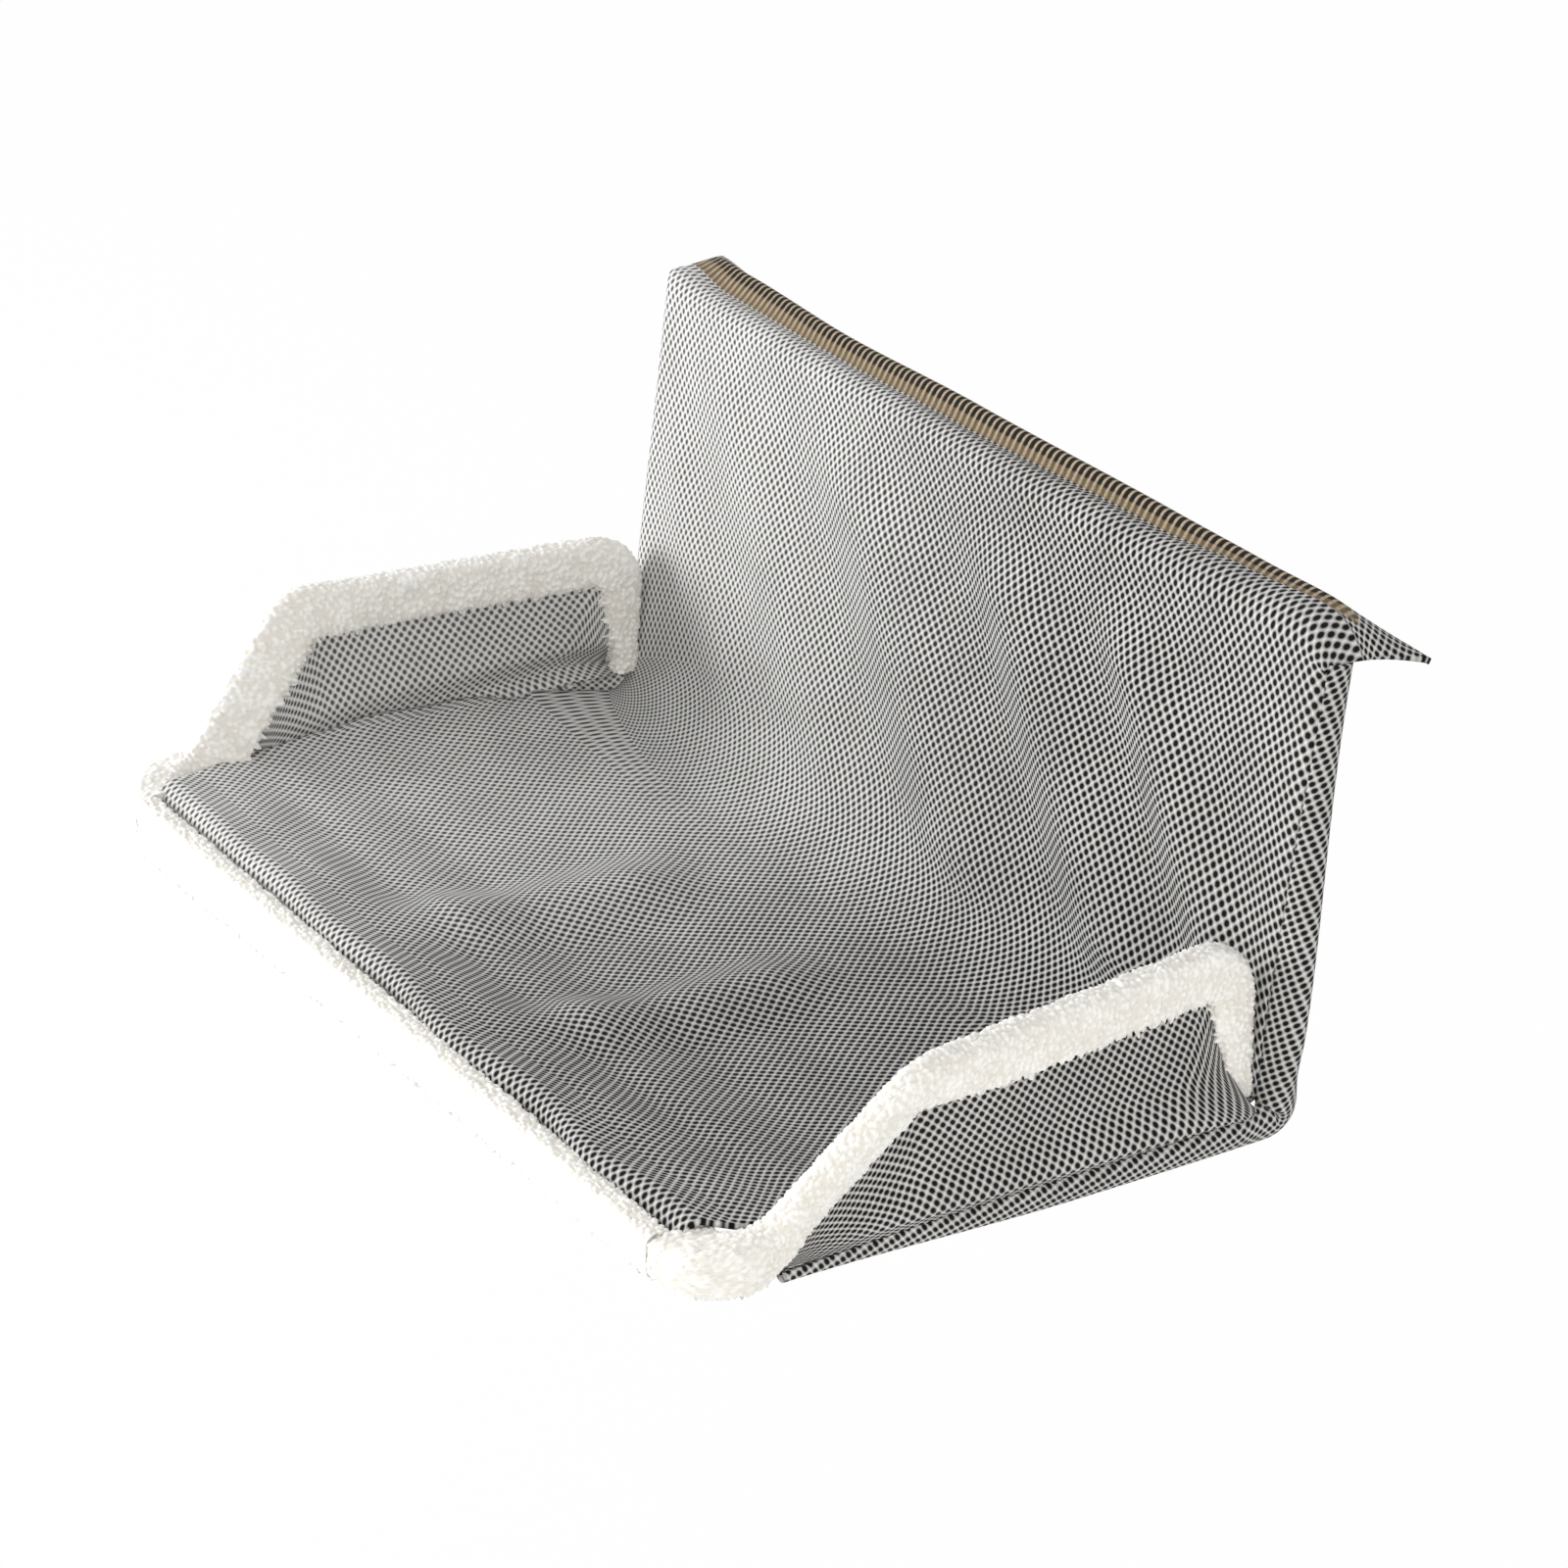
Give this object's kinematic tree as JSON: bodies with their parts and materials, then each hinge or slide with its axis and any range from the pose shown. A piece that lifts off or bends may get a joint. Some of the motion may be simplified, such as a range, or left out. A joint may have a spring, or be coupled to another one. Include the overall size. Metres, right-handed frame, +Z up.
{
  "type": "cat window hammock",
  "caption": "Cat window hammock: grey honeycomb mesh seat with cream fleece arm and front trims, on a steel tube frame that hangs from a board by two sliding hooks.",
  "frame": {"origin": "top front edge of the board that the hooks hang over, midway along the hammock", "axes": "+X along the board to the right as seen from the room, +Y back over the board, +Z up"},
  "size_m": [0.4966, 0.3352, 0.2148],
  "materials": {
    "painted_steel": "satin black powder coat",
    "zinc_steel": "bright zinc plate",
    "black_rubber": "matt",
    "black_plastic": "fine grained",
    "grey_mesh": "open honeycomb knit",
    "cream_fleece": "curly fleece"
  },
  "bodies": {
    "frame": {"back_panel": "grey_mesh", "front_bar": "painted_steel", "front_trim": "cream_fleece", "hook_bar": "painted_steel", "hook_left_plug": "zinc_steel", "hook_left_screw": "zinc_steel", "hook_right_plug": "zinc_steel", "hook_right_screw": "zinc_steel", "left_arm_hoop": "painted_steel", "left_arm_trim": "cream_fleece", "left_bumper": "black_rubber", "left_foot_cap": "black_plastic", "left_hook_guide": "painted_steel", "left_rest_pad": "black_rubber", "left_side_strip": "grey_mesh", "left_side_wall": "grey_mesh", "left_upright": "painted_steel", "lower_bar": "painted_steel", "lower_left_plug": "zinc_steel", "lower_left_screw": "zinc_steel", "lower_right_plug": "zinc_steel", "lower_right_screw": "zinc_steel", "right_arm_hoop": "painted_steel", "right_arm_trim": "cream_fleece", "right_bumper": "black_rubber", "right_foot_cap": "black_plastic", "right_hook_guide": "painted_steel", "right_rest_pad": "black_rubber", "right_side_strip": "grey_mesh", "right_side_wall": "grey_mesh", "right_upright": "painted_steel", "seat_panel": "grey_mesh", "top_bar": "painted_steel", "top_left_plug": "zinc_steel", "top_left_screw": "zinc_steel", "top_right_plug": "zinc_steel", "top_right_screw": "zinc_steel"},
    "left_hook_slide": {"left_hook": "painted_steel", "left_tip_pad": "black_rubber"},
    "right_hook_slide": {"right_hook": "painted_steel", "right_tip_pad": "black_rubber"},
    "left_clamp": {"left_clamp_knob": "black_plastic", "left_clamp_screw": "zinc_steel"},
    "right_clamp": {"right_clamp_knob": "black_plastic", "right_clamp_screw": "zinc_steel"}
  },
  "joints": [
    {"name": "left_hook_travel", "type": "slide", "parent": "frame", "child": "left_hook_slide", "axis": [0, 1, 0], "range_m": [0, 0.025]},
    {"name": "left_clamp_turn", "type": "hinge", "parent": "frame", "child": "left_clamp", "pos_m": [-0.1, 0.0093, 0.02], "axis": [0, 0, 1], "range_deg": [0, 360]},
    {"name": "right_hook_travel", "type": "slide", "parent": "frame", "child": "right_hook_slide", "axis": [0, 1, 0], "range_m": [0, 0.025]},
    {"name": "right_clamp_turn", "type": "hinge", "parent": "frame", "child": "right_clamp", "pos_m": [0.1, 0.0093, 0.02], "axis": [0, 0, 1], "range_deg": [0, 360]}
  ]
}
